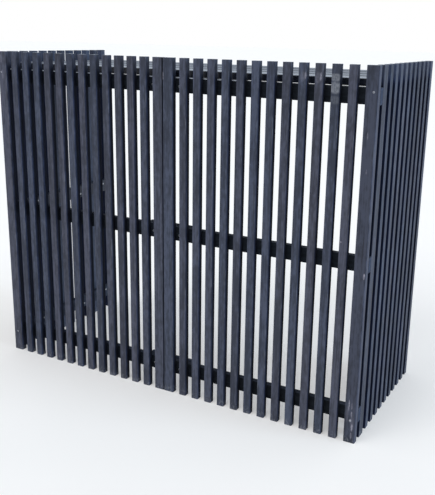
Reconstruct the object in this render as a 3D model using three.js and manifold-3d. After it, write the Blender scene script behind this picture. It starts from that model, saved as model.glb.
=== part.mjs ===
// Slatted timber screen for a garden or terrace.
// Two front panels meet at a seam, a side wall stands behind each outer end, and slatted boards lie on top.
// It is open at the back and below, and it stands on the lower ends of its slats.
// Millimetres, +Z up, front towards -Y. The origin is on the ground, midway across and midway front to back.
import * as THREE from "three";
import { mergeVertices } from "three/addons/utils/BufferGeometryUtils.js";
import Module from "manifold-3d";

// Slats, the upright bars of every wall.
const slatLength = 1000;
const slatWidth = 22;
const slatThickness = 19;
const slatSpacing = 22;
const endSlatWidth = 32;
const slatEdgeRadius = 1.5;

// How many slats each wall has between its wide end slats.
const regularSlatsPerPanel = 12;
const regularSlatsPerSide = 10;
// The last slats of a side wall are one piece with the middle rail that carries them.
const joinedSlatsPerSide = 6;

// Rails, the level bars behind the slats.
const railHeight = 42;
const railThickness = 19;
const railEdgeRadius = 2;
const bottomRailLift = 55;
const middleRailLift = 479;
const topRailDrop = 53;

// Seam between the two front panels, and the cleats that bridge it behind the rails.
const seamWidth = 2;
const cleatLength = 150;
const cleatThickness = 19;
const cleatEdgeRadius = 2;

// Lid boards, and the bearer that ties them together underneath.
const lidBoardCount = 4;
const lidBoardThickness = 19;
const lidBoardSpacing = 25;
const lidBoardEdgeRadius = 2;
const lidEndClearance = 2;
const lidFrontClearance = 1;
const bearerWidth = 19;
const bearerHeight = 42;
const bearerEdgeRadius = 2;
const bearerSetback = 12;

// Gap left between pieces that touch, and how far the glue that fills it runs into both where they are joined.
const jointGap = 0.3;
const glueDepth = 2;

// Lengths worked out from the sizes above.
const panelWidth = 2 * endSlatWidth + regularSlatsPerPanel * slatWidth + (regularSlatsPerPanel + 1) * slatSpacing;
const screenWidth = 2 * panelWidth + seamWidth;
const frontRailFace = slatThickness + jointGap;
const frontDepth = frontRailFace + railThickness;
const sideStart = frontDepth + jointGap;
const sideLength = endSlatWidth + regularSlatsPerSide * (slatSpacing + slatWidth);
const screenDepth = sideStart + sideLength;
const topRailLift = slatLength - topRailDrop - railHeight;
const railLifts = { bottom: bottomRailLift, middle: middleRailLift, top: topRailLift };

// Paint and timber colours.
const slatPaint = new THREE.MeshStandardMaterial({ color: 0x414756, roughness: 0.72, metalness: 0 });
const railPaint = new THREE.MeshStandardMaterial({ color: 0x2b2f3a, roughness: 0.8, metalness: 0 });
const lidPaint = new THREE.MeshStandardMaterial({ color: 0x4b5263, roughness: 0.55, metalness: 0 });

// A straight bar between two corners, its four long edges rounded, with its grain along x, y or z.
function barGeometry(low, high, grain, edgeRadius) {
  const size = new THREE.Vector3().subVectors(high, low);
  const centre = new THREE.Vector3().addVectors(high, low).divideScalar(2);
  const [across, over] = { x: [size.z, size.y], y: [size.x, size.z], z: [size.x, size.y] }[grain];
  const radius = Math.min(edgeRadius, across / 2, over / 2);
  const right = across / 2 - radius;
  const top = over / 2 - radius;
  const section = new THREE.Shape();
  section.absarc(right, -top, radius, -Math.PI / 2, 0);
  section.absarc(right, top, radius, 0, Math.PI / 2);
  section.absarc(-right, top, radius, Math.PI / 2, Math.PI);
  section.absarc(-right, -top, radius, Math.PI, 1.5 * Math.PI);
  const bar = new THREE.ExtrudeGeometry(section, { depth: size[grain], curveSegments: 1, bevelEnabled: false });
  bar.translate(0, 0, -size[grain] / 2);
  if (grain === "x") bar.rotateY(Math.PI / 2);
  if (grain === "y") bar.rotateX(-Math.PI / 2);
  return bar.translate(centre.x, centre.y, centre.z);
}

function namedMesh(name, geometry, material) {
  const mesh = new THREE.Mesh(geometry, material);
  mesh.name = name;
  return mesh;
}

// A whole bar as one named piece.
function bar(name, low, high, grain, edgeRadius, material) {
  return namedMesh(name, barGeometry(low, high, grain, edgeRadius), material);
}

// Several bars that run into one another, made into one closed body.
const wasm = await Module();
wasm.setup();

function solidOf(geometry) {
  const plain = geometry.clone().deleteAttribute("normal").deleteAttribute("uv");
  const merged = mergeVertices(plain);
  return new wasm.Manifold(
    new wasm.Mesh({
      numProp: 3,
      vertProperties: merged.getAttribute("position").array,
      triVerts: new Uint32Array(merged.index.array),
    }),
  );
}

function joined(geometries) {
  const whole = geometries.map(solidOf).reduce((sum, next) => sum.add(next));
  const { vertProperties, triVerts } = whole.getMesh();
  const geometry = new THREE.BufferGeometry();
  geometry.setAttribute("position", new THREE.BufferAttribute(vertProperties, 3));
  geometry.setIndex(new THREE.BufferAttribute(triVerts, 1));
  const faceted = geometry.toNonIndexed();
  faceted.computeVertexNormals();
  return faceted;
}

const point = (x, y, z) => new THREE.Vector3(x, y, z);
const twoDigits = (number) => String(number).padStart(2, "0");

// Where each slat of a row begins and how wide it is: a wide one, the regular ones, and a wide one if asked for.
function slatRow(regularCount, endsWide) {
  const row = [{ start: 0, width: endSlatWidth }];
  for (let i = 0; i < regularCount; i += 1) {
    row.push({ start: endSlatWidth + slatSpacing + i * (slatWidth + slatSpacing), width: slatWidth });
  }
  if (endsWide) {
    row.push({ start: endSlatWidth + slatSpacing + regularCount * (slatWidth + slatSpacing), width: endSlatWidth });
  }
  return row;
}

// One front panel, drawn from its left end: upright slats on three level rails.
function frontPanel(side) {
  const panel = new THREE.Group();
  slatRow(regularSlatsPerPanel, true).forEach(({ start, width }, i) => {
    const low = point(start, 0, 0);
    const high = point(start + width, slatThickness, slatLength);
    panel.add(bar(`front_${side}_slat_${twoDigits(i + 1)}`, low, high, "z", slatEdgeRadius, slatPaint));
  });
  for (const [level, lift] of Object.entries(railLifts)) {
    const low = point(0, frontRailFace, lift);
    const high = point(panelWidth, frontDepth, lift + railHeight);
    panel.add(bar(`front_${side}_rail_${level}`, low, high, "x", railEdgeRadius, railPaint));
  }
  return panel;
}

// One side wall, drawn from its front end, with its outer face on x = 0 and its inside towards +x or -x.
function sideWall(side, inward) {
  const wall = new THREE.Group();
  const railFace = slatThickness + jointGap;
  const spanned = (from, to) => (inward > 0 ? [from, to] : [-to, -from]);
  const slatGeometry = ({ start, width }) => {
    const [lowX, highX] = spanned(0, slatThickness);
    return barGeometry(point(lowX, start, 0), point(highX, start + width, slatLength), "z", slatEdgeRadius);
  };
  const railGeometry = (lift) => {
    const [lowX, highX] = spanned(railFace, railFace + railThickness);
    return barGeometry(point(lowX, 0, lift), point(highX, sideLength, lift + railHeight), "y", railEdgeRadius);
  };
  const glueGeometry = ({ start, width }) => {
    const [lowX, highX] = spanned(slatThickness - glueDepth, railFace + glueDepth);
    const glue = new THREE.BoxGeometry(highX - lowX, width - 2 * slatEdgeRadius, railHeight - 2 * railEdgeRadius);
    return glue.translate((lowX + highX) / 2, start + width / 2, railLifts.middle + railHeight / 2);
  };
  const row = slatRow(regularSlatsPerSide, false);
  row.slice(0, -joinedSlatsPerSide).forEach((slat, i) => {
    wall.add(namedMesh(`${side}_side_slat_${twoDigits(i + 1)}`, slatGeometry(slat), slatPaint));
  });
  const rear = row.slice(-joinedSlatsPerSide);
  const middle = joined([railGeometry(railLifts.middle), ...rear.map(slatGeometry), ...rear.map(glueGeometry)]);
  wall.add(namedMesh(`${side}_side_rail_middle_with_rear_slats`, middle, slatPaint));
  wall.add(namedMesh(`${side}_side_rail_bottom`, railGeometry(railLifts.bottom), railPaint));
  wall.add(namedMesh(`${side}_side_rail_top`, railGeometry(railLifts.top), railPaint));
  return wall;
}

// Short blocks behind the rails that hold the two front panels together, drawn about the seam.
function seamCleats() {
  const cleats = new THREE.Group();
  for (const [level, lift] of Object.entries(railLifts)) {
    const low = point(-cleatLength / 2, 0, lift);
    const high = point(cleatLength / 2, cleatThickness, lift + railHeight);
    cleats.add(bar(`seam_cleat_${level}`, low, high, "x", cleatEdgeRadius, railPaint));
  }
  return cleats;
}

// Boards that lie on the side rails behind the front, and the bearer below them, drawn from the side walls' front.
function lid() {
  const top = new THREE.Group();
  const seat = topRailLift + railHeight + jointGap;
  const halfLength = screenWidth / 2 - slatThickness - lidEndClearance;
  const covered = sideLength - lidFrontClearance;
  const boardWidth = (covered - (lidBoardCount - 1) * lidBoardSpacing) / lidBoardCount;
  for (let i = 0; i < lidBoardCount; i += 1) {
    const start = lidFrontClearance + i * (boardWidth + lidBoardSpacing);
    const low = point(-halfLength, start, seat);
    const high = point(halfLength, start + boardWidth, seat + lidBoardThickness);
    top.add(bar(`lid_board_${twoDigits(i + 1)}`, low, high, "x", lidBoardEdgeRadius, lidPaint));
  }
  const bearerTop = topRailLift + railHeight;
  const low = point(-bearerWidth / 2, cleatThickness + jointGap, bearerTop - bearerHeight);
  const high = point(bearerWidth / 2, sideLength - bearerSetback, bearerTop);
  top.add(bar("lid_bearer", low, high, "y", bearerEdgeRadius, railPaint));
  return top;
}

function placed(group, x, y) {
  group.position.set(x, y, 0);
  return group;
}

const frontFace = -screenDepth / 2;
const screen = new THREE.Group();
screen.add(placed(frontPanel("left"), -screenWidth / 2, frontFace));
screen.add(placed(frontPanel("right"), seamWidth / 2, frontFace));
screen.add(placed(sideWall("left", 1), -screenWidth / 2, frontFace + sideStart));
screen.add(placed(sideWall("right", -1), screenWidth / 2, frontFace + sideStart));
screen.add(placed(seamCleats(), 0, frontFace + sideStart));
screen.add(placed(lid(), 0, frontFace + sideStart));

export default screen;
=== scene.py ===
"""Dresses a slatted garden screen.

Stained and worn timber, its screws, and a plain stage with light and camera. Everything is in metres. The
ground is z = 0 and the front of the screen faces -Y.
"""

import math

import bmesh
import bpy
from bpy.props import FloatProperty, FloatVectorProperty, IntProperty, PointerProperty
from bpy.types import Operator, Panel, PropertyGroup
from mathutils import Matrix, Vector


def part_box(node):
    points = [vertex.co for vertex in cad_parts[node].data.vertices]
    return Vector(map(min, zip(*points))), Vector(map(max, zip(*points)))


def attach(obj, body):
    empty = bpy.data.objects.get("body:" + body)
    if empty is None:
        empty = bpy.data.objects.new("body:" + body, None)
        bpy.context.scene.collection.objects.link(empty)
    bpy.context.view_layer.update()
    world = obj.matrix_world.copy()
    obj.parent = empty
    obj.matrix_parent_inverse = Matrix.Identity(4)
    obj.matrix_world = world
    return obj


bl_info = {
    "name": "Slatted Screen",
    "version": (1, 1, 0),
    "blender": (4, 5, 0),
    "location": "3D View > Sidebar > Screen",
    "description": "Stained timber, screws, floor, light and camera for a slatted garden screen",
    "category": "Object",
}

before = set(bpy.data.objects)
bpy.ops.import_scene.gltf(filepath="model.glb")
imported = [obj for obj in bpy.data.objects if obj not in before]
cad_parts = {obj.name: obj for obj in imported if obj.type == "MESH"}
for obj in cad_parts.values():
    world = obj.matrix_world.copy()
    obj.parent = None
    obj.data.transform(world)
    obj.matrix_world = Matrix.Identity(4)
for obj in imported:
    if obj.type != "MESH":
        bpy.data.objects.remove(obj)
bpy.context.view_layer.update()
LEVELS = ("bottom", "middle", "top")
SIDES = {"left": -1, "right": 1}
SLATS_PER_PANEL = 14
REAR_SLATS = 6

# How far a mask reaches past a face, to take it in, or stops short of one.
SKIN = 0.0002


# Sizes and colours a user would change


def colour_property(name, description, default):
    return FloatVectorProperty(
        name=name, description=description, subtype="COLOR", size=3, min=0, max=1, default=default
    )


def length_property(name, description, default):
    return FloatProperty(
        name=name, description=description, subtype="DISTANCE", unit="LENGTH", default=default
    )


def share_property(name, description, default):
    return FloatProperty(
        name=name, description=description, subtype="FACTOR", min=0, max=1, default=default
    )


def angle_property(name, description, degrees):
    return FloatProperty(
        name=name, description=description, subtype="ANGLE", default=math.radians(degrees)
    )


class TimberSettings(PropertyGroup):
    slat_stain: colour_property("Slat stain", "Stain on the front slats", (0.0435, 0.051, 0.079))
    side_stain: colour_property("Side stain", "Stain on the side walls' slats", (0.038, 0.051, 0.086))
    rail_stain: colour_property("Rail stain", "Stain on the rails", (0.03, 0.036, 0.053))
    lid_stain: colour_property("Lid stain", "Stain on the lid boards", (0.075, 0.085, 0.12))
    bare_timber: colour_property("Worn timber", "Grey timber under worn stain", (0.225, 0.24, 0.27))
    # The scratched timber's colour is also that of the painted highlight beside the seam.
    scratch_and_highlight_colour: colour_property("Scratched timber", "Timber in a scratch", (0.29, 0.285, 0.35))
    # Dust on faces that look up, partly painted light from above.
    dust_and_top_light: colour_property("Dust", "Dust and weathering on faces that look up", (0.15, 0.15, 0.155))
    wear: share_property("Wear", "How much stain is rubbed off the edges", 0.5)
    gap_shade: share_property("Gap shade", "How light the faces in the gaps stay, next to open ones", 0.9)


class ScrewSettings(PropertyGroup):
    head_radius: length_property("Head radius", "Half the width of a screw head", 0.0031)
    head_height: length_property("Head height", "How far a head's rim stands out of the timber", 0.0002)
    recess_depth: length_property("Recess depth", "Depth of the cross recess", 0.0014)
    stagger: length_property("Stagger", "How far a rail's screws stand above and below its middle", 0.008)
    rim_corners: IntProperty(
        name="Rim corners", description="Corners in a quarter of a head's rim", min=3, max=12, default=3
    )
    steel: colour_property("Screw steel", "Colour of the zinc-plated screws", (0.5, 0.52, 0.56))


class StageSettings(PropertyGroup):
    camera_place: FloatVectorProperty(
        name="Camera place",
        description="Where the camera stands",
        subtype="TRANSLATION",
        unit="LENGTH",
        size=3,
        default=(1.1533, -1.9757, 1.0621),
    )
    camera_turn: angle_property("Camera turn", "Compass turn of the view", -28.23)
    camera_tilt: angle_property("Camera tilt", "Tilt of the view above level", -15.02)
    camera_roll: angle_property("Camera roll", "Roll about the view", 1.13)
    lens: FloatProperty(
        name="Lens", description="Focal length on a 36 mm frame", subtype="DISTANCE_CAMERA", default=53.36
    )
    lens_shift: FloatVectorProperty(
        name="Lens shift",
        description="Sideways and upward shift, in shares of the frame",
        size=2,
        default=(-0.0305, -0.0313),
    )
    floor_reach: length_property("Floor reach", "Half the width of the floor", 60)
    floor_colour: colour_property("Floor colour", "Pale floor", (0.7, 0.69, 0.68))
    floor_glow: share_property("Floor glow", "The floor's own light, which softens shadows on it", 0.35)
    key_strength: FloatProperty(
        name="Key light", description="Soft light from the front and above", default=0.9
    )
    side_strength: FloatProperty(name="Side light", description="Soft light from the right", default=1.35)
    side_colour: colour_property("Side colour", "Colour of the light from the right", (0.7, 0.86, 1.0))
    sky_strength: FloatProperty(name="Sky light", description="Light from all round", default=0.75)
    sky_colour: colour_property("Sky colour", "Colour of the light from all round", (0.93, 0.96, 1.0))
    gloss_colour: colour_property("Gloss colour", "Sky in the sheen of the stain", (0.78, 0.88, 1.0))


# Selecting and placing


def deselect_all():
    if bpy.context.object and bpy.context.object.mode != "OBJECT":
        bpy.ops.object.mode_set(mode="OBJECT")
    bpy.ops.object.select_all(action="DESELECT")


def own_copy(source, name, place):
    """A copy with its own mesh, moved to its place in that mesh."""
    piece = source.copy()
    piece.data = source.data.copy()
    piece.name = piece.data.name = name
    bpy.context.scene.collection.objects.link(piece)
    piece.data.transform(place)
    return piece


def joined(pieces, name):
    """Several pieces as one object at the origin."""
    deselect_all()
    for piece in pieces:
        piece.select_set(True)
    bpy.context.view_layer.objects.active = pieces[0]
    if len(pieces) > 1:
        bpy.ops.object.join()
    whole = bpy.context.view_layer.objects.active
    whole.name = whole.data.name = name
    whole.select_set(False)
    return whole


def facing(direction, place):
    """Turns +Z to a direction and moves the origin to a place."""
    return Matrix.Translation(place) @ Vector(direction).to_track_quat("Z", "Y").to_matrix().to_4x4()


# Reading the solids


def named(*words, without=()):
    """The solids whose name holds every word, and none of those in without."""
    found = [node for node in sorted(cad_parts) if all(word in node for word in words)]
    found = [node for node in found if not any(word in node for word in without)]
    if not found:
        raise RuntimeError(f"no solid is named with {words}")
    return found


def middle_of(node):
    low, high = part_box(node)
    return (low + high) / 2


def give(nodes, material):
    """Puts one material on the solids with these names."""
    for node in nodes:
        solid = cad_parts[node]
        solid.data.materials.clear()
        solid.data.materials.append(material)


def slat_layout():
    """How the slats lie: their pitch, and where the middle of a gap is on the side walls."""
    second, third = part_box("left_side_slat_02"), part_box("left_side_slat_03")
    pitch = third[0].y - second[0].y
    gap = third[0].y - second[1].y
    return pitch, second[0].y - gap / 2


def lid_top():
    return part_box("lid_board_01")[1].z


# Node recipes

# The colour sockets of a Mix node.
MIX_UNDER, MIX_OVER, MIX_RESULT = 6, 7, 2


def scaled(colour, factor):
    return tuple(min(1.0, channel * factor) for channel in colour)


class Recipe:
    """A node material in the making."""

    def __init__(self, name):
        self.material = bpy.data.materials.new(name)
        self.material.use_nodes = True
        self.tree = self.material.node_tree
        self.tree.nodes.clear()
        self.place = self.add("ShaderNodeTexCoord").outputs["Object"]

    def add(self, kind, inputs=None, **settings):
        node = self.tree.nodes.new(kind)
        for key, value in settings.items():
            setattr(node, key, value)
        for key, value in (inputs or {}).items():
            self.feed(node.inputs[key], value)
        return node

    def feed(self, socket, value):
        if isinstance(value, bpy.types.NodeSocket):
            self.tree.links.new(value, socket)
        else:
            socket.default_value = value

    def math(self, operation, *values, clamp=False):
        inputs = dict(enumerate(values))
        return self.add("ShaderNodeMath", inputs, operation=operation, use_clamp=clamp).outputs[0]

    def vector(self, operation, *values):
        return self.add("ShaderNodeVectorMath", dict(enumerate(values)), operation=operation).outputs[0]

    def length(self, vector):
        return self.add("ShaderNodeVectorMath", {0: vector}, operation="LENGTH").outputs["Value"]

    def split(self, vector):
        return self.add("ShaderNodeSeparateXYZ", {0: vector}).outputs

    def smooth(self, value, low, high, start=0.0, end=1.0):
        """A value that goes from low to high, turned smoothly into one that goes from start to end."""
        inputs = {"Value": value, "From Min": low, "From Max": high, "To Min": start, "To Max": end}
        return self.add("ShaderNodeMapRange", inputs, interpolation_type="SMOOTHSTEP").outputs[0]

    def noise(self, vector, scale, detail=2.0, roughness=0.5):
        inputs = {"Vector": vector, "Scale": scale, "Detail": detail, "Roughness": roughness}
        return self.add("ShaderNodeTexNoise", inputs).outputs[0]

    def blend(self, factor, under, over, mode="MIX"):
        inputs = {0: factor, MIX_UNDER: under, MIX_OVER: over}
        node = self.add("ShaderNodeMix", inputs, data_type="RGBA", blend_type=mode)
        return node.outputs[MIX_RESULT]

    def ramp(self, value, stops):
        node = self.add("ShaderNodeValToRGB", {0: value})
        elements = node.color_ramp.elements
        while len(elements) < len(stops):
            elements.new(0.5)
        for element, (position, colour) in zip(elements, stops):
            element.position = position
            element.color = (*colour, 1)
        return node.outputs[0]

    def finish(self, colour, roughness, height, bump_distance, bump_strength, **sockets):
        relief = {"Strength": bump_strength, "Distance": bump_distance, "Height": height}
        bump = self.add("ShaderNodeBump", relief)
        surface = {"Base Color": colour, "Roughness": roughness, "Normal": bump.outputs[0]}
        shader = self.add("ShaderNodeBsdfPrincipled", surface)
        for key, value in sockets.items():
            shader.inputs[key].default_value = value
        output = self.add("ShaderNodeOutputMaterial")
        self.tree.links.new(shader.outputs[0], output.inputs[0])
        return self.material


def bright_steel(name, steel):
    """Zinc-plated steel with a little dulling."""
    recipe = Recipe(name)
    cloud = recipe.noise(recipe.place, scale=900.0, detail=3.0, roughness=0.6)
    colour = recipe.ramp(cloud, [(0.3, scaled(steel, 0.7)), (0.7, scaled(steel, 1.1))])
    roughness = recipe.smooth(cloud, low=0.2, high=0.8, start=0.3, end=0.5)
    return recipe.finish(colour, roughness, cloud, bump_distance=0.00005, bump_strength=0.3, Metallic=1.0)


# Grain, shade and wear of the timber

# Layers of noise: how much space is squeezed along the grain, then scale, detail and roughness.
LAYERS = {
    "fibres": (0.03, 850.0, 3.0, 0.6),
    "streaks": (0.012, 170.0, 3.0, 0.55),
    "brushing": (0.04, 330.0, 2.0, 0.5),
    "mottle": (0.4, 130.0, 3.0, 0.6),
    "patches": (0.3, 26.0, 4.0, 0.6),
    "drift": (0.1, 14.0, 1.0, 0.5),
    "breaks": (0.3, 480.0, 3.0, 0.7),
    "rubs": (0.12, 90.0, 4.0, 0.65),
    "scuffs": (0.6, 210.0, 3.0, 0.65),
}

# What each part adds to the light and dark of the stain. A knot takes some away.
TONE_SHARES = {
    "fibres": 0.8,
    "streaks": 1.3,
    "brushing": 1.0,
    "mottle": 1.4,
    "patches": 1.4,
    "drift": 0.65,
}
OWN_TONE_SHARE = 0.24
KNOT_TONE_SHARE = -0.15

# The stain's colour at three tones, as a factor.
TONE_STOPS = ((0.15, 0.66), (0.5, 1.0), (0.85, 1.42))

# How far along a piece turns from the cool coat to the warm one.
WARMTH_DRIFT = 0.9

# How far apart neighbouring pieces may lie in the noise, so that no two are alike.
OWN_SHIFT = (3.0, 3.0, 3.0)

# Knots: how much space is squeezed along the grain, their scale, and where a knot is darkest and ends.
KNOT_SQUEEZE = 0.45
KNOT_SCALE = 11.0
KNOT_REACH = (0.04, 0.09)

# Factors for red, green and blue.
COOL_PIECE = (0.94, 1.0, 1.04)
WARM_PIECE = (1.07, 1.0, 0.955)
SHADE = (0.82, 1.0, 1.35)
BEHIND_SLATS = (0.35, 0.38, 0.36)
CORNER_SLAT = (0.70, 0.74, 0.78)
# A painted cool shade on the outer side of the right corner slat.
CORNER_SIDE_SHADE = (0.86, 0.95, 1.05)
SEAM_GAP = (0.3, 0.3, 0.35)
# A painted blue shade in the side walls' gaps, over the gap shade.
SIDE_GAP_SHADE = (0.75, 1.1, 1.9)

# The least share of its normal along an axis that a face has where it looks squarely that way, or slopes.
SQUARE = 0.9
SLOPING = 0.3

# The same for cut ends, and for faces that look up.
CUT_END = 0.7
UPWARD = 0.6

# A face is on a rounded edge where no share of its normal reaches this.
ROUNDED = 0.97

# A face of a side rail looks out where its normal times its place, both across, is over this.
OUTWARD = 0.5

# The shade in the gaps ends from below to above the lid's top, and keeps this share above it.
SHADE_BELOW = 0.02
SHADE_ABOVE = 0.01
SHADE_LEFT = 0.15

# How much of a rubbed spot shows on a face, and how much more on a rounded edge.
FACE_RUB = 0.05
EDGE_RUB = 0.45

# How far the growth rings' middle may lie from a piece's own place.
RING_SHIFT = (0.02, 0.02, 0.02)

# Where a mark starts to fade, as a share of its half size, and how high the scuffed feet are.
MARK_CORE = 0.55
FOOT_HEIGHT = 0.03

# Depth of the grain, and what streaks and knots add to it.
GRAIN_DEPTH = 0.0005
STREAK_RELIEF = 0.6
KNOT_RELIEF = 0.5


class TimberRecipe(Recipe):
    """Planed softwood under an opaque stain, laid on in layers.

    Grain is the axis of the fibres, 0 to 2. Space is cut into cells of the pitch, shifted by the start. Each
    cell holds one piece of timber, so that no two pieces have the same grain or quite the same shade. Along
    an axis where the pieces needn't be told apart, the pitch is longer than the screen.
    """

    def __init__(self, name, grain, start, pitch):
        super().__init__(name)
        self.grain = grain
        cell = self.vector("SNAP", self.vector("SUBTRACT", self.place, start), pitch)
        draw = self.add("ShaderNodeTexWhiteNoise", {"Vector": cell}, noise_dimensions="3D")
        chance = draw.outputs["Color"]
        self.chances = self.split(chance)
        self.own = self.vector("MULTIPLY_ADD", chance, OWN_SHIFT, self.place)
        self.places = self.split(self.place)
        true_normal = self.add("ShaderNodeNewGeometry").outputs["True Normal"]
        self.looks = self.split(true_normal)
        self.upward = self.looks[2]
        self.normals = self.split(self.vector("ABSOLUTE", true_normal))
        self.layers = {kind: self.layer(kind) for kind in TONE_SHARES}
        knots = self.add("ShaderNodeTexVoronoi", {"Vector": self.along(KNOT_SQUEEZE), "Scale": KNOT_SCALE})
        self.knot = self.smooth(knots.outputs["Distance"], *KNOT_REACH, start=1.0, end=0.0)
        self.broken = self.smooth(self.layer("breaks"), low=0.45, high=0.58)
        self.rail_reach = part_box("right_side_rail_top")[1].x + SKIN
        self.colour = None
        self.sheltered = 0.0

    def along(self, squeeze):
        """The piece's own space, squeezed along the grain."""
        factors = tuple(squeeze if axis == self.grain else 1.0 for axis in range(3))
        return self.vector("MULTIPLY", self.own, factors)

    def layer(self, kind):
        squeeze, *character = LAYERS[kind]
        return self.noise(self.along(squeeze), *character)

    # Masks

    def within(self, axis, low, high):
        middle, half = (low + high) / 2, (high - low) / 2
        return self.math("COMPARE", self.places[axis], middle, half)

    def looking(self, axis, least=SQUARE):
        """Faces that look either way along an axis, with at least this share of their normal."""
        return self.math("GREATER_THAN", self.normals[axis], least)

    def both(self, first, second):
        return self.math("MULTIPLY", first, second)

    # Colour

    def cover(self, mask, over):
        """Another colour where the mask is 1."""
        if not isinstance(over, bpy.types.NodeSocket):
            over = (*over, 1)
        self.colour = self.blend(mask, self.colour, over)

    def tint(self, mask, factors):
        """The colour so far, multiplied by a factor for each channel, where the mask is 1."""
        self.cover(mask, self.blend(1.0, self.colour, (*factors, 1), "MULTIPLY"))

    def shade(self, mask, factor):
        """Darker and cooler where the mask is 1."""
        self.tint(mask, tuple(factor * channel for channel in SHADE))

    def tone(self, contrast):
        """Light and dark of the stain, from 0 to 1, about 0.5."""
        parts = [(self.layers[kind], share * contrast) for kind, share in TONE_SHARES.items()]
        parts.append((self.chances[0], OWN_TONE_SHARE))
        tone = 0.5 - sum(share for part, share in parts) / 2
        for part, share in parts:
            tone = self.math("MULTIPLY_ADD", part, share, tone)
        return self.math("MULTIPLY_ADD", self.knot, KNOT_TONE_SHARE, tone, clamp=True)

    def stain(self, colour, contrast=1.0):
        """Opaque stain, cool on one piece and warm on the next, thicker and thinner along the grain."""
        tone = self.tone(contrast)
        coats = []
        for factors in (COOL_PIECE, WARM_PIECE):
            coat = tuple(channel * factor for channel, factor in zip(colour, factors))
            stops = [(position, scaled(coat, factor)) for position, factor in TONE_STOPS]
            coats.append(self.ramp(tone, stops))
        warmth = self.math("MULTIPLY_ADD", self.layers["patches"], WARMTH_DRIFT, -WARMTH_DRIFT / 2)
        warmth = self.math("ADD", self.chances[1], warmth, clamp=True)
        self.colour = self.blend(warmth, *coats)

    def paint(self, mask, colour):
        """Another stain where the mask is 1."""
        streaks = self.smooth(self.layers["streaks"], low=0.3, high=0.7)
        self.cover(mask, self.blend(streaks, (*scaled(colour, 0.75), 1), (*scaled(colour, 1.25), 1)))

    # Shade

    def shade_gaps(self, axis, low, high, top, factor):
        """Faces that look along an axis, and lie between these places on it, are in their neighbours' shade.

        The shade ends at a height, above which the sky reaches them.
        """
        inside = self.both(self.looking(axis), self.within(axis, low, high))
        low, high = top - SHADE_BELOW, top + SHADE_ABOVE
        covered = self.smooth(self.places[2], low, high, start=1.0, end=SHADE_LEFT)
        self.sheltered = self.both(inside, covered)
        self.shade(self.sheltered, factor)

    def shade_deeper(self, axis, start, end, factor):
        """The shaded faces grow darker from a start to an end, along an axis."""
        depth = self.smooth(self.places[axis], start, end)
        self.shade(self.both(self.sheltered, depth), factor)

    def shade_towards_slats(self, axis):
        """Rail faces against the slats are in deep shade: those that look out along x, or forwards."""
        if axis == 0:
            outward = self.math("GREATER_THAN", self.both(self.looks[0], self.places[0]), OUTWARD)
            against = self.both(outward, self.within(0, -self.rail_reach, self.rail_reach))
        else:
            against = self.math("LESS_THAN", self.looks[1], -SQUARE)
        self.tint(against, BEHIND_SLATS)

    # Wear

    def bare_edge(self, stretches, low, bare):
        """A painted highlight: the upper edge towards the slats is painted pale in stretches along x, above
        a height.
        """
        forward = self.math("LESS_THAN", self.looks[1], -SLOPING)
        rounding = self.both(forward, self.math("GREATER_THAN", self.upward, SLOPING))
        edge = self.both(rounding, self.math("GREATER_THAN", self.places[2], low))
        spans = [self.within(0, start, end) for start, end in stretches]
        self.cover(self.both(edge, self.math("ADD", *spans, clamp=True)), bare)

    def rub_edges(self, bare, wear):
        """The rounded edges, and a few spots on the faces, are rubbed down to greyed timber."""
        flattest = self.math("MAXIMUM", self.normals[0], self.normals[1])
        flattest = self.math("MAXIMUM", flattest, self.normals[2])
        edge = self.math("LESS_THAN", flattest, ROUNDED)
        spots = self.smooth(self.layer("rubs"), low=0.66 - 0.22 * wear, high=0.78 - 0.16 * wear)
        self.cover(self.both(spots, self.math("MULTIPLY_ADD", edge, EDGE_RUB, FACE_RUB)), bare)

    def lay_mark(self, middle, half, strength, whole, bare):
        """A worn spot, or beside the seam a painted highlight: its middle, its half sizes, and how whole it
        is, from 0 for broken to 1 for even.
        """
        away = self.length(self.vector("DIVIDE", self.vector("SUBTRACT", self.place, middle), half))
        left = self.math("MULTIPLY_ADD", self.broken, 1.0 - whole, whole)
        near = self.smooth(away, MARK_CORE, 1.0, start=strength, end=0.0)
        self.cover(self.both(near, left), bare)

    def wear_feet(self, bare, strength):
        """The lowest centimetres are scuffed."""
        low = self.smooth(self.places[2], 0.0, FOOT_HEIGHT, start=strength, end=0.0)
        spots = self.smooth(self.layer("scuffs"), low=0.5, high=0.62)
        self.cover(self.both(low, spots), bare)

    def lay_dust_and_top_light(self, dust_and_top_light, strength):
        """Dust and weathering on faces that look up, partly painted light that falls on them from above."""
        cloud = self.noise(self.own, scale=60.0, detail=3.0, roughness=0.6)
        cloud = self.smooth(cloud, low=0.25, high=0.75, start=0.6, end=1.0)
        tops = self.both(self.math("GREATER_THAN", self.upward, UPWARD), cloud)
        self.cover(self.both(tops, strength), dust_and_top_light)

    def cut_ends(self, colour):
        """Sawn ends with growth rings, where the stain soaked in."""
        shift = self.vector("FRACTION", self.own)
        centre = self.vector("MULTIPLY_ADD", shift, RING_SHIFT, self.place)
        growth = {"Vector": centre, "Scale": 150.0, "Distortion": 1.5, "Detail": 2.0, "Detail Scale": 2.0}
        rings = self.add("ShaderNodeTexWave", growth, wave_type="RINGS", rings_direction="XYZ"[self.grain])
        ends = self.ramp(rings.outputs[0], [(0.2, scaled(colour, 0.6)), (0.8, scaled(colour, 1.05))])
        self.cover(self.looking(self.grain, CUT_END), ends)

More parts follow.
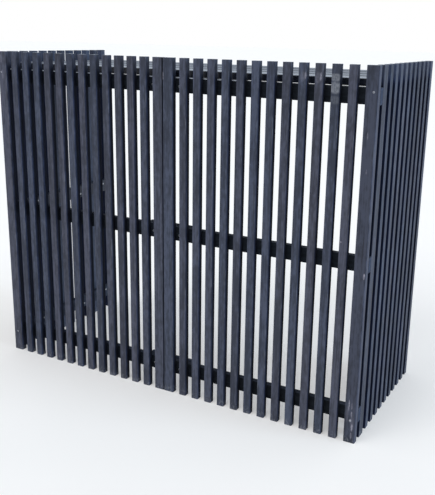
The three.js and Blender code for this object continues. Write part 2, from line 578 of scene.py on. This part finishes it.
    def done(self, dull=(0.55, 0.75), top_gloss=1.0, fading=0.0, bump_strength=0.7, specular=0.3):
        """The finished material. Dull is the least and the most roughness of the fibres.

        Top gloss under 1 makes the faces that look up smoother than the rest. Fading is added roughness.
        """
        roughness = self.smooth(self.layers["fibres"], 0.2, 0.8, *dull)
        roughness = self.math("MAXIMUM", roughness, self.sheltered)
        if top_gloss < 1:
            up = self.math("GREATER_THAN", self.upward, UPWARD)
            roughness = self.both(roughness, self.math("MULTIPLY_ADD", up, top_gloss - 1.0, 1.0))
        roughness = self.math("ADD", roughness, fading)
        height = self.math("MULTIPLY_ADD", self.layers["streaks"], STREAK_RELIEF, self.layers["fibres"])
        height = self.math("MULTIPLY_ADD", self.knot, KNOT_RELIEF, height)
        sheen = {"Specular IOR Level": specular}
        return self.finish(self.colour, roughness, height, GRAIN_DEPTH, bump_strength, **sheen)


# Operators for the timber

# Scratches and rubbed spots on the front, and a painted highlight: x, height, half width, half height and
# strength.
FRONT_MARKS = (
    # The foot of the right corner slat
    (0.5944, 0.110, 0.0024, 0.0210, 0.85),
    (0.6022, 0.108, 0.0020, 0.0130, 0.50),
    (0.6026, 0.085, 0.0025, 0.0105, 0.75),
    (0.5998, 0.066, 0.0044, 0.0062, 0.70),
    (0.6054, 0.047, 0.0033, 0.0150, 0.90),
    (0.6042, 0.021, 0.0026, 0.0130, 0.60),
    (0.5905, 0.085, 0.0045, 0.0300, 0.20),
    (0.6050, 0.062, 0.0060, 0.0320, 0.18),
    # Higher up the same slat
    (0.6110, 0.4755, 0.0030, 0.0100, 1.00),
    (0.5958, 0.832, 0.0021, 0.0120, 0.35),
    (0.5982, 0.744, 0.0021, 0.0080, 0.30),
    # Two slats with a pale streak near the top, each beside a wider faint one
    (0.4264, 0.969, 0.0028, 0.0110, 0.60),
    (0.4190, 0.966, 0.0085, 0.0160, 0.22),
    (0.4676, 0.968, 0.0030, 0.0130, 0.65),
    (0.4600, 0.965, 0.0085, 0.0170, 0.22),
    # The top of the left corner slat
    (-0.6030, 0.978, 0.0060, 0.0160, 0.25),
    (-0.5990, 0.930, 0.0050, 0.0180, 0.25),
    # A painted highlight on the rounded edge beside the seam, and a small spot half way up
    (0.0027, 0.950, 0.0015, 0.0140, 0.85),
    (0.5440, 0.557, 0.0026, 0.0035, 0.70),
)

# The slat with mottled patches, one above the other: height, half height and strength of each.
WORN_SLAT = "front_right_slat_12"
WORN_PATCHES = ((0.9675, 0.0115, 0.68), (0.9425, 0.0175, 0.78), (0.9130, 0.0125, 0.25))

# How deep marks reach in from the front, and how whole they are.
MARK_DEPTH = 0.004
MARK_WHOLENESS = 0.4
PATCH_WHOLENESS = 0.45

# Grain of the front slats, a little stronger than elsewhere.
FRONT_CONTRAST = 1.2

# A painted highlight on the upper edge of the top rails: from and to along x, how high the pale strip is,
# and how much lighter than worn timber elsewhere.
LIT_EDGE_STRETCHES = ((-0.620, -0.198), (-0.066, 0.242))
LIT_EDGE_HEIGHT = 0.003
LIT_EDGE_LIGHTNESS = 2.0

# Shares of the gap shade: with depth between the front slats, on the side walls and on the lid.
DEEP_SHADE = 0.15
SIDE_SHADE = 0.13
LID_SHADE = 0.15

# How much less rails are worn than slats, and how much lighter than the side walls their ends are.
RAIL_WEAR = 0.5
END_LIGHTNESS = 1.12

# The front slats' sides darken between these depths behind the front.
DARKENING = (0.002, 0.010)

# What the painted shade on a corner slat's outer side, and the darker sides of the seam, take in of the
# rounded edges beside them.
OUTER_SIDE_DEPTH = 0.0014
SEAM_SIDE_DEPTH = 0.0016

# How far the rounded edges of the lid boards reach into the boards.
LID_EDGE_REACH = 0.01

# Heights between which dust, and painted light from above, grow on the rails' upper faces.
DUST_AND_TOP_LIGHT_HEIGHTS = (0.4, 0.8)

# Start of the cells that hold one rail, cleat or bearer each.
RAIL_CELLS = (-0.7, -0.5, -0.05)


def mark_front(recipe, face, mark_colour):
    for x, height, half_width, half_height, strength in FRONT_MARKS:
        half = (half_width, MARK_DEPTH, half_height)
        recipe.lay_mark((x, face, height), half, strength, MARK_WHOLENESS, mark_colour)


def patch_slat(recipe, slat, bare):
    low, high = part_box(slat)
    middle = (low.x + high.x) / 2
    width = high.x - low.x
    for height, half_height, strength in WORN_PATCHES:
        half = (width, MARK_DEPTH, half_height)
        recipe.lay_mark((middle, low.y, height), half, strength, PATCH_WHOLENESS, bare)


class SCREEN_OT_stain_front_slats(Operator):
    """Stains the front slats, a shade apart from one another, with their scratches and worn spots, a painted
    highlight and painted shade in their gaps
    """

    bl_idname = "screen.stain_front_slats"
    bl_label = "Stain front slats"

    def execute(self, context):
        timber = context.scene.screen_timber
        pitch = slat_layout()[0]
        low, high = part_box(f"front_right_slat_{SLATS_PER_PANEL}")
        recipe = TimberRecipe("front_slat_stain", 2, (0.0, 0.0, -1.0), (pitch, 1.0, 10.0))
        recipe.stain(timber.slat_stain, FRONT_CONTRAST)
        recipe.rub_edges(timber.bare_timber, timber.wear)
        recipe.shade_gaps(0, -high.x + SKIN, high.x - SKIN, lid_top(), timber.gap_shade)
        near, far = (low.y + depth for depth in DARKENING)
        recipe.shade_deeper(1, near, far, timber.gap_shade * DEEP_SHADE)
        recipe.tint(recipe.within(0, low.x - SKIN, high.x - SKIN), CORNER_SLAT)
        # A painted cool shade on the outer side of the right corner slat.
        recipe.tint(recipe.within(0, high.x - OUTER_SIDE_DEPTH, high.x + SKIN), CORNER_SIDE_SHADE)
        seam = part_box("front_right_slat_01")[0].x + SEAM_SIDE_DEPTH
        recipe.tint(recipe.within(0, -seam, seam), SEAM_GAP)
        mark_front(recipe, low.y, timber.scratch_and_highlight_colour)
        patch_slat(recipe, WORN_SLAT, timber.bare_timber)
        recipe.wear_feet(timber.bare_timber, strength=0.5)
        recipe.cut_ends(timber.slat_stain)
        # Dust, and painted light from above, on the tops.
        recipe.lay_dust_and_top_light(timber.dust_and_top_light, strength=0.8)
        give(named("front", "slat"), recipe.done(top_gloss=0.35))
        return {"FINISHED"}


class SCREEN_OT_stain_side_walls(Operator):
    """Stains the side walls' slats, and darker the middle rail that is one piece with the last of them"""

    bl_idname = "screen.stain_side_walls"
    bl_label = "Stain side walls"

    def execute(self, context):
        timber = context.scene.screen_timber
        pitch, gap_middle = slat_layout()
        low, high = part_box("right_side_rail_middle_with_rear_slats")
        recipe = TimberRecipe("side_slat_stain", 2, (0.0, gap_middle, -1.0), (1.0, pitch, 10.0))
        recipe.stain(timber.side_stain)
        recipe.rub_edges(timber.bare_timber, timber.wear)
        recipe.wear_feet(timber.bare_timber, strength=0.5)
        recipe.shade_gaps(1, low.y - SKIN, high.y - SKIN, lid_top(), timber.gap_shade * SIDE_SHADE)
        # A painted blue shade in the gaps, over the gap shade.
        recipe.tint(recipe.sheltered, SIDE_GAP_SHADE)
        recipe.cut_ends(timber.slat_stain)
        # Dust, and painted light from above, on the tops.
        recipe.lay_dust_and_top_light(timber.dust_and_top_light, strength=0.35)
        recipe.paint(recipe.within(0, -recipe.rail_reach, recipe.rail_reach), timber.rail_stain)
        recipe.shade_towards_slats(0)
        give(named("side", "slat"), recipe.done(top_gloss=0.45))
        return {"FINISHED"}


class SCREEN_OT_stain_rails(Operator):
    """Stains the rails, cleats and bearer, with the side walls' stain on their ends"""

    bl_idname = "screen.stain_rails"
    bl_label = "Stain rails"

    def execute(self, context):
        timber = context.scene.screen_timber
        for name, grain, pitch, nodes in (
            ("rail_stain_across", 0, (0.7, 1.0, 0.3), named("front", "rail")),
            ("cleat_stain", 0, (1.4, 1.0, 0.3), named("cleat")),
            ("rail_stain_deep", 1, (0.4, 1.0, 0.3), named("side_rail", without=("slat",)) + named("bearer")),
        ):
            recipe = TimberRecipe(name, grain, RAIL_CELLS, pitch)
            recipe.stain(timber.rail_stain, contrast=0.7)
            recipe.rub_edges(scaled(timber.bare_timber, RAIL_WEAR), timber.wear * RAIL_WEAR)
            recipe.shade_towards_slats(1 - grain)
            recipe.paint(recipe.looking(grain, CUT_END), scaled(timber.side_stain, END_LIGHTNESS))
            # Dust, and painted light from above, on the rails' upper faces, most on the top rail.
            dust_and_light_share = recipe.smooth(recipe.places[2], *DUST_AND_TOP_LIGHT_HEIGHTS, start=0.0, end=0.8)
            recipe.lay_dust_and_top_light(timber.dust_and_top_light, dust_and_light_share)
            # A painted highlight along the top rails' upper edge, in the colour of bare timber.
            if grain == 0:
                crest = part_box("front_right_rail_top")[1].z - LIT_EDGE_HEIGHT
                rubbed = scaled(timber.bare_timber, LIT_EDGE_LIGHTNESS)
                recipe.bare_edge(LIT_EDGE_STRETCHES, crest, rubbed)
            give(nodes, recipe.done(dull=(0.8, 0.95), specular=0.1))
        return {"FINISHED"}


class SCREEN_OT_stain_lid(Operator):
    """Stains the lid boards, with the sheen of a fresh coat"""

    bl_idname = "screen.stain_lid"
    bl_label = "Stain lid"

    def execute(self, context):
        timber = context.scene.screen_timber
        boards = [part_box(node) for node in named("lid_board")]
        first, second, last = boards[0], boards[1], boards[-1]
        pitch = second[0].y - first[0].y
        gap_middle = (first[1].y + second[0].y) / 2
        recipe = TimberRecipe("lid_stain", 0, (-5.0, gap_middle, -1.0), (20.0, pitch, 10.0))
        recipe.stain(timber.lid_stain, contrast=0.6)
        recipe.rub_edges(timber.bare_timber, timber.wear)
        before_rear = recipe.math("LESS_THAN", recipe.places[1], last[1].y - SKIN)
        edges = recipe.both(recipe.looking(1), before_rear)
        between = recipe.within(1, first[1].y - LID_EDGE_REACH, last[0].y + LID_EDGE_REACH)
        roundings = recipe.both(recipe.looking(1, SLOPING), between)
        recipe.shade(recipe.math("MAXIMUM", edges, roundings), timber.gap_shade * LID_SHADE)
        recipe.cut_ends(timber.lid_stain)
        # Dust, and painted light from above, on the boards' tops.
        recipe.lay_dust_and_top_light(timber.dust_and_top_light, strength=0.3)
        fading = recipe.smooth(recipe.places[1], first[0].y, second[1].y, start=0.0, end=0.17)
        coat = recipe.done(dull=(0.24, 0.34), fading=fading, bump_strength=0.3, specular=0.6)
        give(named("lid_board"), coat)
        return {"FINISHED"}


# Screws

# Thickness of the disc that a head starts as. All of it but the rim is inside the timber.
DISC_THICKNESS = 0.001

# Widths of the head's rounding and of the land round the cross, as shares of its radius.
ROUNDING_SHARE = 0.16
LAND_SHARE = 0.26

# How far the head's rounding rises over its rim, as a share of the rim's height.
CROWN_SHARE = 0.6

# How far in the cross's inner corners are drawn, and how wide its bottom is, as shares of what they were.
CROSS_SHARE = 0.32
TAPER_SHARE = 0.55

# Corners of the cross lie within this many degrees of a diagonal, and faces this close are level.
DIAGONAL_REACH = 5
LEVEL_REACH = 1e-6

# Turn of the first head in a row, and how much further the next is turned.
FIRST_TURN = 0.7
NEXT_TURN = 1.9

# Room between a screw and the cleat or the corner beside it.
SCREW_MARGIN = 0.005

# Screws beside the seam: x, and height over a cleat's middle.
CLEAT_SCREWS = ((-0.0465, -0.002), (0.0430, -0.004))

# Screws in a corner slat: the rail's level, how far in from the side, and height over the rail's middle.
CORNER_SCREWS = (("top", 0.011, 0.011), ("bottom", 0.0152, -0.010))

# How deep the corner screws are driven, as a share of a rim's height, which leaves them flush.
SUNK_SHARE = 1.5

# How far in from a lid board's edges its screws are, as a share of its width.
LID_SCREW_SHARE = 0.22


def height_of(face):
    return face.calc_center_median().z


def pick_face(piece, choose):
    """Selects one more face of a piece in edit mode, and makes it the active one."""
    mesh = bmesh.from_edit_mesh(piece.data)
    face = choose(mesh.faces)
    face.select_set(True)
    mesh.faces.active = face
    bmesh.update_edit_mesh(piece.data)


def highest_face(faces):
    return max(faces, key=height_of)


def middle_face(faces):
    """The face nearest the middle, of those that are highest."""
    highest = max(height_of(face) for face in faces)
    level = [face for face in faces if height_of(face) > highest - LEVEL_REACH]
    return min(level, key=lambda face: face.calc_center_median().xy.length)


def pick_diagonals(piece):
    """Leaves only those of the selected corners selected that lie on a diagonal."""
    mesh = bmesh.from_edit_mesh(piece.data)
    for vertex in [vertex for vertex in mesh.verts if vertex.select]:
        angle = math.degrees(math.atan2(vertex.co.y, vertex.co.x)) % 90
        vertex.select_set(abs(angle - 45) < DIAGONAL_REACH)
    mesh.select_flush(False)
    bmesh.update_edit_mesh(piece.data)


def cross_head_screw(settings, name):
    """One countersunk screw head with a cross recess, facing +Z at the origin.

    Its rim has a corner on each diagonal, and the arms of the cross meet in line with them.
    """
    radius, rim = settings.head_radius, settings.head_height
    deselect_all()
    bpy.ops.mesh.primitive_cylinder_add(
        vertices=4 * settings.rim_corners,
        radius=radius,
        depth=DISC_THICKNESS,
        location=(0, 0, rim - DISC_THICKNESS / 2),
        rotation=(0, 0, math.radians(45 % (90 / settings.rim_corners))),
    )
    head = bpy.context.object
    head.name = head.data.name = name
    bpy.ops.object.transform_apply(location=True, rotation=True, scale=True)
    bpy.ops.object.mode_set(mode="EDIT")
    bpy.ops.mesh.select_mode(type="FACE")
    bpy.ops.mesh.select_all(action="DESELECT")
    pick_face(head, highest_face)
    bpy.ops.mesh.inset(thickness=radius * ROUNDING_SHARE, depth=rim * CROWN_SHARE)
    bpy.ops.mesh.inset(thickness=radius * LAND_SHARE, depth=0)
    bpy.ops.mesh.select_mode(type="VERT")
    pick_diagonals(head)
    centre = (0, 0, rim)
    bpy.ops.transform.resize(value=(CROSS_SHARE, CROSS_SHARE, 1), center_override=centre)
    bpy.ops.mesh.select_all(action="DESELECT")
    bpy.ops.mesh.select_mode(type="FACE")
    pick_face(head, middle_face)
    down = (0, 0, -settings.recess_depth)
    bpy.ops.mesh.extrude_region_move(TRANSFORM_OT_translate={"value": down})
    bpy.ops.transform.resize(value=(TAPER_SHARE, TAPER_SHARE, 1), center_override=centre)
    bpy.ops.object.mode_set(mode="OBJECT")
    bpy.ops.object.shade_smooth_by_angle(angle=math.radians(30))
    return head


def row_of_screws(name, head, direction, places, material):
    """Heads at these places, each turned a little differently, as one piece that rides with the screen."""
    copies = []
    for number, place in enumerate(places):
        spin = Matrix.Rotation(FIRST_TURN + number * NEXT_TURN, 4, "Z")
        copies.append(own_copy(head, f"{name}_{number}", facing(direction, place) @ spin))
    row = joined(copies, name)
    row.data.materials.clear()
    row.data.materials.append(material)
    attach(row, "root")


def level_of(settings, node, number):
    """Height of a screw in a rail: neighbours stand above and below its middle by turns."""
    return middle_of(node).z + (settings.stagger if number % 2 else -settings.stagger)


class ScrewOperator:
    """What the operators that drive screws share"""

    def begin(self, context):
        self.settings = context.scene.screen_screws
        self.head = cross_head_screw(self.settings, "screw_pattern")
        found = bpy.data.materials.get("screw_steel")
        self.steel = found or bright_steel("screw_steel", self.settings.steel)

    def end(self):
        bpy.data.objects.remove(self.head)
        return {"FINISHED"}


class SCREEN_OT_drive_front_rail_screws(ScrewOperator, Operator):
    """Drives a screw through the back of a front rail into each slat that is open there"""

    bl_idname = "screen.drive_front_rail_screws"
    bl_label = "Drive front rail screws"

    def execute(self, context):
        self.begin(context)
        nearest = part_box("seam_cleat_middle")[1].x + SCREW_MARGIN
        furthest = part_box("right_side_rail_top")[0].x - SCREW_MARGIN
        for side in SIDES:
            slats = [middle_of(node).x for node in named(f"front_{side}_slat")]
            open_slats = [x for x in slats if nearest < abs(x) < furthest]
            for level in LEVELS:
                rail = f"front_{side}_rail_{level}"
                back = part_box(rail)[1].y
                places = [(x, back, level_of(self.settings, rail, i)) for i, x in enumerate(open_slats)]
                row_of_screws(f"{rail}_screws", self.head, (0, 1, 0), places, self.steel)
        return self.end()


class SCREEN_OT_drive_side_rail_screws(ScrewOperator, Operator):
    """Drives a screw through the inside of a side rail into each of its slats"""

    bl_idname = "screen.drive_side_rail_screws"
    bl_label = "Drive side rail screws"

    def execute(self, context):
        self.begin(context)
        pitch = slat_layout()[0]
        for side, sign in SIDES.items():
            loose = [middle_of(node).y for node in named(f"{side}_side_slat")]
            slats = loose + [loose[-1] + pitch * (i + 1) for i in range(REAR_SLATS)]
            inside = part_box(f"{side}_side_rail_top")[0 if sign > 0 else 1].x
            for level in LEVELS:
                name = f"{side}_side_rail_{level}_screws"
                # The front rail of this level is as high, and is a solid of its own at every level.
                rail = f"front_{side}_rail_{level}"
                places = [(inside, y, level_of(self.settings, rail, i)) for i, y in enumerate(slats)]
                row_of_screws(name, self.head, (-sign, 0, 0), places, self.steel)
        return self.end()


class SCREEN_OT_drive_cleat_screws(ScrewOperator, Operator):
    """Drives screws through the front rails into the seam cleats, in the gaps beside the seam slats"""

    bl_idname = "screen.drive_cleat_screws"
    bl_label = "Drive cleat screws"

    def execute(self, context):
        self.begin(context)
        for level in LEVELS:
            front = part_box(f"front_left_rail_{level}")[0].y
            middle = middle_of(f"seam_cleat_{level}").z
            places = [(x, front, middle + rise) for x, rise in CLEAT_SCREWS]
            row_of_screws(f"seam_cleat_{level}_screws", self.head, (0, -1, 0), places, self.steel)
        return self.end()


class SCREEN_OT_drive_corner_screws(ScrewOperator, Operator):
    """Drives the screws that hold the corner slats, down until they are flush with the front"""

    bl_idname = "screen.drive_corner_screws"
    bl_label = "Drive corner screws"

    def execute(self, context):
        self.begin(context)
        for side, sign in SIDES.items():
            number = SLATS_PER_PANEL if sign > 0 else 1
            low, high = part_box(f"front_{side}_slat_{number:02d}")
            outer = high.x if sign > 0 else low.x
            sunk = low.y + self.settings.head_height * SUNK_SHARE
            places = []
            for level, inset, rise in CORNER_SCREWS:
                height = middle_of(f"front_{side}_rail_{level}").z + rise
                places.append((outer - sign * inset, sunk, height))
            row_of_screws(f"front_{side}_corner_screws", self.head, (0, -1, 0), places, self.steel)
        return self.end()


class SCREEN_OT_drive_lid_screws(ScrewOperator, Operator):
    """Drives screws down through the lid boards into the side rails and the bearer"""

    bl_idname = "screen.drive_lid_screws"
    bl_label = "Drive lid screws"

    def execute(self, context):
        self.begin(context)
        beam = middle_of("right_side_rail_top").x
        for node in named("lid_board"):
            low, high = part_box(node)
            inset = (high.y - low.y) * LID_SCREW_SHARE
            lines = (low.y + inset, high.y - inset)
            places = [(x, y, high.z) for x in (-beam, 0, beam) for y in lines]
            row_of_screws(f"{node}_screws", self.head, (0, 0, 1), places, self.steel)
        return self.end()


# Stage

WHITE = (1.0, 1.0, 1.0)

# Lamps: the direction that each hangs in, how far off, and how many degrees wide it looks.
KEY_DIRECTION = (-0.35, -0.8, 0.9)
SIDE_DIRECTION = (1.0, 0.12, 0.55)
LAMP_DISTANCE = 3
KEY_SPREAD = 40
SIDE_SPREAD = 30

# The sky that the sheen shows: how bright it is from the front round to the rear.
SHEEN_SKY = {"From Min": -0.6, "From Max": 0.7, "To Min": 0.15, "To Max": 1.0}

# How far the camera sees, which takes in the whole floor.
FAR_CLIP = 400


class SCREEN_OT_set_stage(Operator):
    """Lays a pale floor, sets soft light all round and from the front, and places the camera"""

    bl_idname = "screen.set_stage"
    bl_label = "Set stage"

    def execute(self, context):
        stage = context.scene.screen_stage
        self.lay_floor(stage)
        self.hang_lamp(context, "key_light", stage.key_strength, WHITE, KEY_SPREAD, KEY_DIRECTION)
        self.hang_lamp(
            context, "side_light", stage.side_strength, stage.side_colour, SIDE_SPREAD, SIDE_DIRECTION
        )
        self.light_sky(context, stage)
        self.place_camera(context, stage)
        context.scene.view_settings.view_transform = "Standard"
        return {"FINISHED"}

    def lay_floor(self, stage):
        deselect_all()
        bpy.ops.mesh.primitive_plane_add(size=2 * stage.floor_reach, location=(0, 0, 0))
        floor = bpy.context.object
        floor.name = floor.data.name = "floor"
        bpy.ops.object.transform_apply(location=True, rotation=True, scale=True)
        recipe = Recipe("pale_floor")
        cloud = recipe.noise(recipe.place, scale=2.0)
        colour = stage.floor_colour
        pale = recipe.ramp(cloud, [(0.3, scaled(colour, 0.99)), (0.7, scaled(colour, 1.01))])
        glow = {"Emission Color": (*colour, 1), "Emission Strength": stage.floor_glow}
        paint = recipe.finish(pale, 0.9, cloud, bump_distance=0.0001, bump_strength=0.1, **glow)
        floor.data.materials.append(paint)

    def hang_lamp(self, context, name, strength, colour, spread, direction):
        lamp = bpy.data.lights.new(name, "SUN")
        lamp.energy = strength
        lamp.color = colour
        lamp.angle = math.radians(spread)
        hung = bpy.data.objects.new(name, lamp)
        hung.matrix_world = facing(direction, Vector(direction) * LAMP_DISTANCE)
        context.scene.collection.objects.link(hung)

    def light_sky(self, context, stage):
        """White where the camera looks past the screen, and in the sheen a sky that is bright behind it."""
        world = bpy.data.worlds.new("soft_sky")
        context.scene.world = world
        world.use_nodes = True
        nodes, links = world.node_tree.nodes, world.node_tree.links
        nodes.clear()

        def sky(colour, strength):
            background = nodes.new("ShaderNodeBackground")
            background.inputs["Color"].default_value = (*colour, 1)
            background.inputs["Strength"].default_value = strength
            return background

        def either(factor, first, second):
            mix = nodes.new("ShaderNodeMixShader")
            for socket, source in zip(mix.inputs, (factor, first.outputs[0], second.outputs[0])):
                links.new(source, socket)
            return mix

        lit = sky(stage.sky_colour, stage.sky_strength)
        glossed = sky(stage.gloss_colour, 1.0)
        seen = sky(WHITE, 1.0)
        heading = nodes.new("ShaderNodeSeparateXYZ")
        links.new(nodes.new("ShaderNodeTexCoord").outputs["Generated"], heading.inputs[0])
        rise = nodes.new("ShaderNodeMapRange")
        rise.interpolation_type = "SMOOTHSTEP"
        for socket, value in SHEEN_SKY.items():
            rise.inputs[socket].default_value = value
        links.new(heading.outputs[1], rise.inputs["Value"])
        links.new(rise.outputs[0], glossed.inputs["Strength"])
        path = nodes.new("ShaderNodeLightPath")
        shone = either(path.outputs["Is Glossy Ray"], lit, glossed)
        whole = either(path.outputs["Is Camera Ray"], shone, seen)
        links.new(whole.outputs[0], nodes.new("ShaderNodeOutputWorld").inputs[0])

    def place_camera(self, context, stage):
        turn, tilt, roll = stage.camera_turn, stage.camera_tilt, stage.camera_roll
        level = math.cos(tilt)
        ahead = Vector((math.sin(turn) * level, math.cos(turn) * level, math.sin(tilt)))
        right = Vector((math.cos(turn), -math.sin(turn), 0))
        up = right.cross(ahead)
        rolled_right = right * math.cos(roll) + up * math.sin(roll)
        rolled_up = up * math.cos(roll) - right * math.sin(roll)
        view = Matrix((rolled_right, rolled_up, -ahead)).transposed().to_4x4()
        lens = bpy.data.cameras.new("camera")
        lens.lens = stage.lens
        lens.shift_x, lens.shift_y = stage.lens_shift
        lens.clip_end = FAR_CLIP
        camera = bpy.data.objects.new("camera", lens)
        camera.matrix_world = Matrix.Translation(stage.camera_place) @ view
        context.scene.collection.objects.link(camera)
        context.scene.camera = camera


# Panel and registration

OPERATORS = (
    SCREEN_OT_stain_front_slats,
    SCREEN_OT_stain_side_walls,
    SCREEN_OT_stain_rails,
    SCREEN_OT_stain_lid,
    SCREEN_OT_drive_front_rail_screws,
    SCREEN_OT_drive_side_rail_screws,
    SCREEN_OT_drive_cleat_screws,
    SCREEN_OT_drive_corner_screws,
    SCREEN_OT_drive_lid_screws,
    SCREEN_OT_set_stage,
)


class SCREEN_PT_panel(Panel):
    """Lists the screen's settings and operators"""

    bl_idname = "SCREEN_PT_panel"
    bl_label = "Slatted Screen"
    bl_space_type = "VIEW_3D"
    bl_region_type = "UI"
    bl_category = "Screen"

    def draw(self, context):
        layout = self.layout
        scene = context.scene
        for group in (scene.screen_timber, scene.screen_screws, scene.screen_stage):
            column = layout.box().column()
            for key in group.__annotations__:
                column.prop(group, key)
        for operator in OPERATORS:
            layout.operator(operator.bl_idname)


CLASSES = (TimberSettings, ScrewSettings, StageSettings, *OPERATORS, SCREEN_PT_panel)


def register():
    for item in CLASSES:
        bpy.utils.register_class(item)
    bpy.types.Scene.screen_timber = PointerProperty(type=TimberSettings)
    bpy.types.Scene.screen_screws = PointerProperty(type=ScrewSettings)
    bpy.types.Scene.screen_stage = PointerProperty(type=StageSettings)


def unregister():
    del bpy.types.Scene.screen_stage
    del bpy.types.Scene.screen_screws
    del bpy.types.Scene.screen_timber
    for item in reversed(CLASSES):
        bpy.utils.unregister_class(item)


def main():
    register()
    for operator in OPERATORS:
        group, action = operator.bl_idname.split(".")
        getattr(getattr(bpy.ops, group), action)()


if __name__ == "__main__":
    main()
